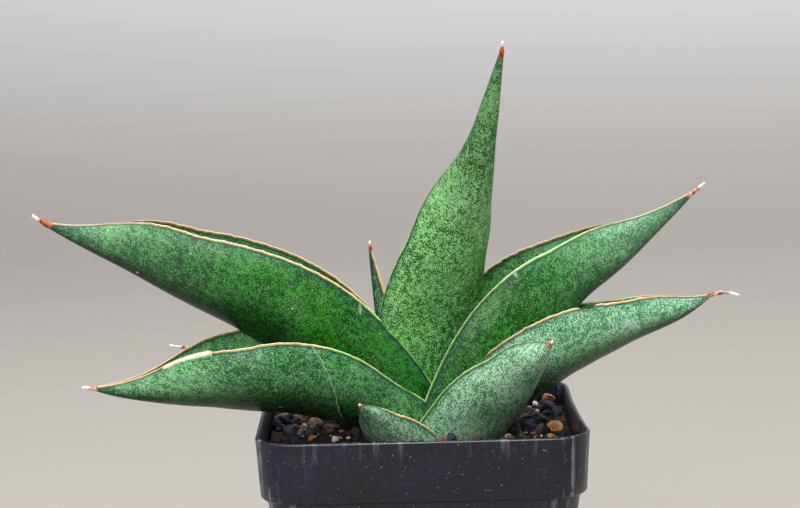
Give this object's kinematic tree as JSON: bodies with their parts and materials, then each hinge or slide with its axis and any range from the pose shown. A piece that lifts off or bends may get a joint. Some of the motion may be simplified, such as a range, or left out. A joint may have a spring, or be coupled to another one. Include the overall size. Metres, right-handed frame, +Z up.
{
  "type": "potted snake plant",
  "caption": "Small snake plant with thick channelled leaves, in gritty mix in a square black nursery pot.",
  "frame": {"origin": "centre of the pot's flat underside", "axes": "+X to the right of the plant's front, +Y to its back, +Z up"},
  "size_m": [0.2173, 0.1, 0.2079],
  "materials": {
    "pot_plastic": "satin",
    "mix_grit": "matte",
    "stock_flesh": "matte",
    "green_new_spike": "satin",
    "green_tall_centre": "satin",
    "green_upper_left": "satin",
    "green_upper_right": "satin",
    "green_lower_left": "satin",
    "green_lower_right": "satin",
    "green_small_front_right": "satin",
    "green_old_back_left": "satin",
    "green_small_front_left": "satin",
    "stone_grey_face": "matte",
    "clay_chip_left_face": "matte",
    "bark_chip_face": "matte",
    "pumice_left_face": "matte",
    "pumice_front_face": "matte",
    "charcoal_front_face": "matte",
    "charcoal_middle_face": "matte",
    "charcoal_back_face": "matte",
    "charcoal_corner_face": "matte",
    "clay_chip_orange_face": "matte",
    "clay_chip_red_face": "matte",
    "pumice_back_face": "matte"
  },
  "bodies": {
    "root": {"pot": "pot_plastic", "potting_mix": "mix_grit", "rootstock": "stock_flesh", "leaf_new_spike": "green_new_spike", "leaf_tall_centre": "green_tall_centre", "leaf_upper_left": "green_upper_left", "leaf_upper_right": "green_upper_right", "leaf_lower_left": "green_lower_left", "leaf_lower_right": "green_lower_right", "leaf_small_front_right": "green_small_front_right", "leaf_old_back_left": "green_old_back_left", "leaf_small_front_left": "green_small_front_left", "stone_grey": "stone_grey_face", "clay_chip_left": "clay_chip_left_face", "bark_chip": "bark_chip_face", "pumice_left": "pumice_left_face", "pumice_front": "pumice_front_face", "charcoal_front": "charcoal_front_face", "charcoal_middle": "charcoal_middle_face", "charcoal_back": "charcoal_back_face", "charcoal_corner": "charcoal_corner_face", "clay_chip_orange": "clay_chip_orange_face", "clay_chip_red": "clay_chip_red_face", "pumice_back": "pumice_back_face"}
  },
  "joints": []
}
